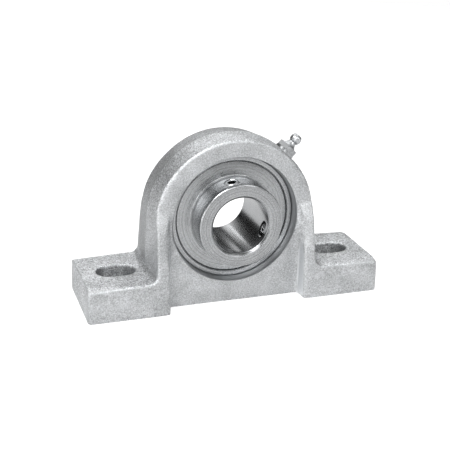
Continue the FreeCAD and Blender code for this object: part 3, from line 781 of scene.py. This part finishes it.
def cast_finish():
    """Blasted casting: sparkling grain and faint blotches, calmer on upright faces, legs and the
    rear half of the arch, and turned in the bore. Shade is painted on the rear half of the arch
    and in the bolt slots, and light is painted on the pocket walls."""
    finish = Finish("cast_stainless")
    aside, depth, radius = abs(finish.x), abs(finish.y), finish.from_axis()
    grain = finish.noise(1.25, 2.0, 0.6)
    fine = finish.noise(2.7, 2.0, 0.6)
    blotch = finish.noise(0.07, 4.0, 0.6)
    lines = finish.noise(1.0, 3.0, 0.7, finish.vector(radius * 5, finish.y * 7, 0.0))

    in_bore = finish.fade(radius, *BORE_FADE)
    foot_face = finish.fade(finish.z, *FOOT_FACE_FADE)
    arch_face = finish.fade(aside, *ARCH_FACE_FADE)
    upright = foot_face + arch_face - foot_face * arch_face
    upright = finish.fade(depth, *UPRIGHT_FADE) * upright
    shaded_rear_half = finish.fade(finish.y, *REAR_FADE) * finish.fade(radius, *REAR_RADIUS_FADE)
    shaded_rear_half = shaded_rear_half * finish.fade(finish.z, *REAR_FOOT_FADE)
    leg = finish.band(aside, *LEG_BAND) * finish.fade(finish.z, *LEG_FOOT_FADE) * (1 - upright)
    leg = leg * finish.fade(finish.z, *LEG_TOP_FADE)
    slot_shade = finish.band(aside, *SLOT_BAND) * finish.fade(depth, *SLOT_SIDE_FADE)
    slot_shade = slot_shade * finish.fade(finish.z, *SLOT_RIM_FADE)
    wall = finish.band(aside, *POCKET_WALL_BAND) * finish.fade(depth, *POCKET_WALL_FADE)
    wall = wall * finish.fade(finish.z, *POCKET_TOP_FADE)

    contrast = 1.3 - upright * 0.8 - leg * 0.4 - shaded_rear_half * 0.4
    # Painted shade: the grain is made 0.11 darker on the rear half of the arch
    grain = 0.5 + (grain - 0.5) * contrast - shaded_rear_half * 0.11
    tone = finish.fade(grain * 0.65 + fine * 0.35 + blotch * 0.2, 0.42, 0.78)
    cast = finish.blend(tone, grey(0.24), grey(0.77))
    # Painted shade inside the bolt slots
    cast = finish.blend(slot_shade * 0.5, cast, grey(0.12))
    # Painted light on the pocket walls
    cast = finish.blend(wall * 0.7, cast, grey(0.9))
    steel = finish.blend(lines, grey(0.46), grey(0.64))
    finish.set(
        Base_Color=finish.blend(in_bore, cast, steel),
        Roughness=0.40 + fine * 0.24 - in_bore * 0.16,
    )
    finish.relief((grain * 0.6 + fine * 0.4) * (1 - in_bore) + lines * in_bore * 0.05, 0.42)
    return finish


def turned_finish(name, dark, light, roughness, depth):
    """Turned or ground steel between two greys: fine lines that run round the shaft axis,
    broader rings among them, and a faint mottle. depth is the height of the lines."""
    finish = Finish(name)
    radius = finish.from_axis()
    across = finish.vector(radius * LINES_PER_MM, finish.y * LINES_PER_MM, 0.0)
    lines = finish.noise(1.0, 3.0, 0.7, across)
    rings = finish.noise(0.28, 2.0, 0.6, across)
    mottle = finish.noise(1.5, 2.0, 0.6)
    haze = finish.noise(0.12, 3.0, 0.6)
    outside = finish.fade(radius, BORE_RADIUS + 0.15, BORE_RADIUS + 0.25)
    behind_edge = finish.fade(finish.y, COLLAR_FRONT + 1.5, COLLAR_FRONT + 1.8)
    uneven = lines * 0.32 + rings * 0.28 + mottle * 0.3 + haze * 0.1 - 0.5
    tone = uneven * (outside * 0.85 + 0.15) + 0.5
    finish.set(
        Base_Color=finish.blend(finish.fade(tone, 0.38, 0.62), grey(dark), grey(light)),
        Roughness=roughness + (rings - 0.5) * outside * 0.2 + (haze - 0.5) * outside * 0.12
        + (1 - outside) * 0.08 + (1 - behind_edge) * 0.13,
    )
    finish.relief(lines * (outside * 0.96 + 0.04) * (behind_edge * 0.9 + 0.1), depth)
    return finish


def inner_ring_finish():
    """Turned ring with painted shade in its tapped holes."""
    finish = turned_finish("ring_steel", 0.28, 0.56, 0.15, 0.06)
    hole = near_screws(finish, SCREW_HOLE_RADIUS + 0.25, BORE_RADIUS - 0.3,
                       COLLAR_RADIUS - 0.55)
    # Painted shade: the walls of the tapped holes are darkened almost to black
    tinted(finish, hole, 0.03)
    return finish


def outer_ring_finish():
    """Ground ring with painted light outside its flat face and from the seal recess wall inwards.
    """
    finish = turned_finish("outer_ring_steel", 0.26, 0.54, 0.26, 0.06)
    radius = finish.from_axis()
    # Painted light on the outer edge, in the shaded crevice by the housing's mouth
    tinted(finish, finish.fade(radius, 34.4, 34.6), 0.9)
    # Painted light on the shaded seal recess wall and everything inside it
    tinted(finish, finish.fade(radius, SEAL_RECESS + 0.3, SEAL_RECESS + 0.15), 0.7)
    return finish


def pressed_finish():
    """Pressed flinger with painted shade on its rim, by the gap to the outer ring."""
    finish = turned_finish("pressed_steel", 0.29, 0.52, 0.28, 0.03)
    rim = finish.fade(finish.from_axis(), FLINGER_RADIUS - 0.4, FLINGER_RADIUS - 0.2)
    # Painted shade: the rim is darkened almost to black, as the gap beside it lies in shadow
    tinted(finish, rim, 0.03)
    return finish


def small_part_finish(name, dark, light, roughness, scale, depth, metallic=1.0):
    """Finish of a small part between two greys: even fine mottling, rubbed lighter and smoother
    in places. scale is the mottling's cells per millimetre and depth its height."""
    finish = Finish(name, metallic)
    mottle = finish.noise(scale, 3.0, 0.6)
    rub = finish.noise(scale * 0.22, 2.0, 0.5)
    tone = finish.fade(mottle * 0.6 + rub * 0.4, 0.35, 0.65)
    finish.set(
        Base_Color=finish.blend(tone, grey(dark), grey(light)),
        Roughness=roughness + (0.5 - rub) * 0.2,
    )
    finish.relief(mottle, depth)
    return finish


def nipple_finish():
    """Bright nipple with painted shade on one side of its hexagon."""
    finish = small_part_finish("nipple_steel", 0.36, 0.60, 0.40, 1.3, 0.006)
    along, aside = finish.on_ray(NIPPLE_ANGLE)
    hexagon = finish.fade(along, NIPPLE_SEAT + 4.5, NIPPLE_SEAT + 4.2)
    # Painted shade: the flat on one side of the hexagon is darkened
    tinted(finish, hexagon * finish.fade(aside, 2.9, 3.3), 0.2)
    return finish


def screw_finish():
    """Machined screw with painted shade in its socket and painted light on its matt cup point."""
    finish = small_part_finish("screw_steel", 0.42, 0.62, 0.36, 2.2, 0.01)
    point = near_screws(finish, SCREW_RADIUS + 0.2, 10, SCREW_TIP + 0.3)
    socket = near_screws(finish, SOCKET_LIP - 0.03, SCREW_TIP + 1.2, 40)
    # Painted shade inside the hexagon socket
    tinted(finish, socket, 0.02)
    # Painted light on the cup point, which sits in shade in its hole; it is also made matt
    tinted(finish, point, 0.9)
    finish.set(Metallic=1 - point * 0.8)
    return finish


CAST = cast_finish()
RING_STEEL = inner_ring_finish()
OUTER_STEEL = outer_ring_finish()
PRESSED_STEEL = pressed_finish()
CAGE_STEEL = small_part_finish("cage_steel", 0.42, 0.55, 0.38, 1.6, 0.02)
SCREW_STEEL = screw_finish()
NIPPLE_STEEL = nipple_finish()
BALL_STEEL = small_part_finish("ball_steel", 0.62, 0.72, 0.08, 0.9, 0.0006)
SEAL_RUBBER = small_part_finish("seal_rubber", 0.015, 0.035, 0.62, 1.8, 0.03, 0.0)


def placed(piece, body, finish, slot, *nodes, sharp=32):
    """Gives a new piece its finish, on the body whose nodes it stands for; slot is not used."""
    shade(piece, finish, sharp)
    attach(piece, body)
    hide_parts(*nodes)


placed(housing(), "housing", CAST, "cast_stainless", "housing", sharp=38)
placed(nipple(), "housing", NIPPLE_STEEL, "nipple_steel", "grease_nipple")
placed(outer_ring(), "outer", OUTER_STEEL, "ring_steel", "outer_ring")
placed(inner_ring(), "inner", RING_STEEL, "ring_steel", "inner_ring", sharp=22)
placed(flinger("pressed_flinger_front", -1), "inner", PRESSED_STEEL, "pressed_steel",
       "flinger_front")
placed(flinger("pressed_flinger_rear", 1), "inner", PRESSED_STEEL, "pressed_steel",
       "flinger_rear")
placed(set_screw("socket_screw_top", TOP_SCREW_ANGLE), "screw_top", SCREW_STEEL,
       "screw_steel", "set_screw_top")
placed(set_screw("socket_screw_side", SIDE_SCREW_ANGLE), "screw_side", SCREW_STEEL,
       "screw_steel", "set_screw_side")

for end in ("front", "rear"):
    placed(merged_copy(f"seal_carrier_{end}", f"carrier_disc_{end}"), "outer", CAGE_STEEL,
           "cage_steel", f"seal_carrier_{end}")
    placed(merged_copy(f"seal_lip_{end}", f"rubber_lip_{end}"), "outer", SEAL_RUBBER,
           "seal_rubber", f"seal_lip_{end}")
    placed(merged_copy(f"cage_{end}", f"pressed_cage_{end}"), "cage", CAGE_STEEL,
           "cage_steel", f"cage_{end}")
placed(merged_copy("cage_rivets", "round_rivets"), "cage", CAGE_STEEL, "cage_steel",
       "cage_rivets")
for number in range(1, BALLS + 1):
    placed(merged_copy(f"ball_{number}", f"polished_ball_{number}"), f"ball_{number}",
           BALL_STEEL, "ball_steel", f"ball_{number}")
placed(merged_copy("nipple_ball", "check_ball"), "valve_ball", BALL_STEEL, "ball_steel",
       "nipple_ball")

# The spring stays the frame's own node, because the valve's joint shortens it
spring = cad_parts["nipple_spring"]
spring.data.materials.clear()
spring.data.materials.append(SCREW_STEEL.material)


# Studio
def stage_floor():
    """Round floor that camera and mirror rays see as white, darker where the object shades
    it. Its rim is (R cos t, R sin t, 0)."""
    t = np.linspace(0, 2 * np.pi, ROUND, endpoint=False)
    points = np.stack([np.cos(t), np.sin(t), 0 * t], -1) * FLOOR_RADIUS
    floor = bpy.data.objects.new("floor", bpy.data.meshes.new("floor"))
    floor.data.from_pydata((points * MM).tolist(), [], [range(ROUND)])
    bpy.context.scene.collection.objects.link(floor)
    finish = Finish("floor_white", 0.0)
    finish.set(Base_Color=grey(FLOOR_SHADE, 0), Roughness=0.9)
    shaded = Signal(finish, finish.shader.outputs[0])
    surface = shaded
    for ray, strength in FLOOR_GLOW:
        glow = finish.node("ShaderNodeEmission", {},
                           {"Color": grey(1.0, 0), "Strength": strength})
        lit = finish.node("ShaderNodeAddShader", {}, {0: shaded, 1: glow})
        seen = finish.node("ShaderNodeLightPath", output=f"Is {ray} Ray")
        surface = finish.node("ShaderNodeMixShader", {}, {0: seen, 1: surface, 2: lit})
    finish.feed(finish.tree.nodes["Material Output"].inputs["Surface"], surface)
    floor.data.materials.append(finish.material)


def sky():
    """White where the camera looks, and a dark room for everything else."""
    world = bpy.data.worlds.new("room")
    world.use_nodes = True
    bpy.context.scene.world = world
    nodes, links = world.node_tree.nodes, world.node_tree.links
    path = nodes.new("ShaderNodeLightPath")
    mix = nodes.new("ShaderNodeMix")
    mix.data_type = "RGBA"
    mix.inputs[6].default_value = grey(ROOM_SHADE, 0)
    mix.inputs[7].default_value = grey(1.0, 0)
    links.new(path.outputs["Is Camera Ray"], mix.inputs[0])
    links.new(mix.outputs[2], nodes["Background"].inputs["Color"])


def way_out(azimuth, elevation):
    """Unit vector that leads away from the object, azimuth 0 along -Y, angles in degrees."""
    a, e = math.radians(azimuth), math.radians(elevation)
    return Vector((math.sin(a) * math.cos(e), -math.cos(a) * math.cos(e), math.sin(e)))


def lamp(name, azimuth, elevation, power, size):
    """Round soft lamp that faces the object."""
    data = bpy.data.lights.new(name, "AREA")
    data.shape = "DISK"
    data.size = size
    data.energy = power
    light = bpy.data.objects.new(name, data)
    way = way_out(azimuth, elevation)
    light.location = CENTRE + way * LAMP_DISTANCE
    light.rotation_euler = way.to_track_quat("Z", "Y").to_euler()
    bpy.context.scene.collection.objects.link(light)


def photo_camera():
    """Camera at the photograph's angle; its up is tilted by the roll."""
    a, roll = math.radians(AZIMUTH), math.radians(ROLL)
    back = way_out(AZIMUTH, ELEVATION)
    right = Vector((math.cos(a), math.sin(a), 0))
    up = back.cross(right)
    across = right * math.cos(roll) + up * math.sin(roll)
    upwards = up * math.cos(roll) - right * math.sin(roll)
    data = bpy.data.cameras.new("photo_camera")
    data.sensor_width = SENSOR
    data.lens = FOCAL_PIXELS / IMAGE_SIDE * SENSOR
    data.shift_x = 0.5 - CENTRE_COLUMN / IMAGE_SIDE
    data.shift_y = CENTRE_ROW / IMAGE_SIDE - 0.5
    camera = bpy.data.objects.new("photo_camera", data)
    turn = Matrix((across, upwards, back)).transposed().to_4x4()
    camera.matrix_world = Matrix.Translation(Vector(TARGET) * MM + back * DISTANCE * MM) @ turn
    bpy.context.scene.collection.objects.link(camera)
    bpy.context.scene.camera = camera


stage_floor()
sky()
for settings in LAMPS:
    lamp(*settings)
photo_camera()
bpy.context.scene.view_settings.view_transform = "Standard"
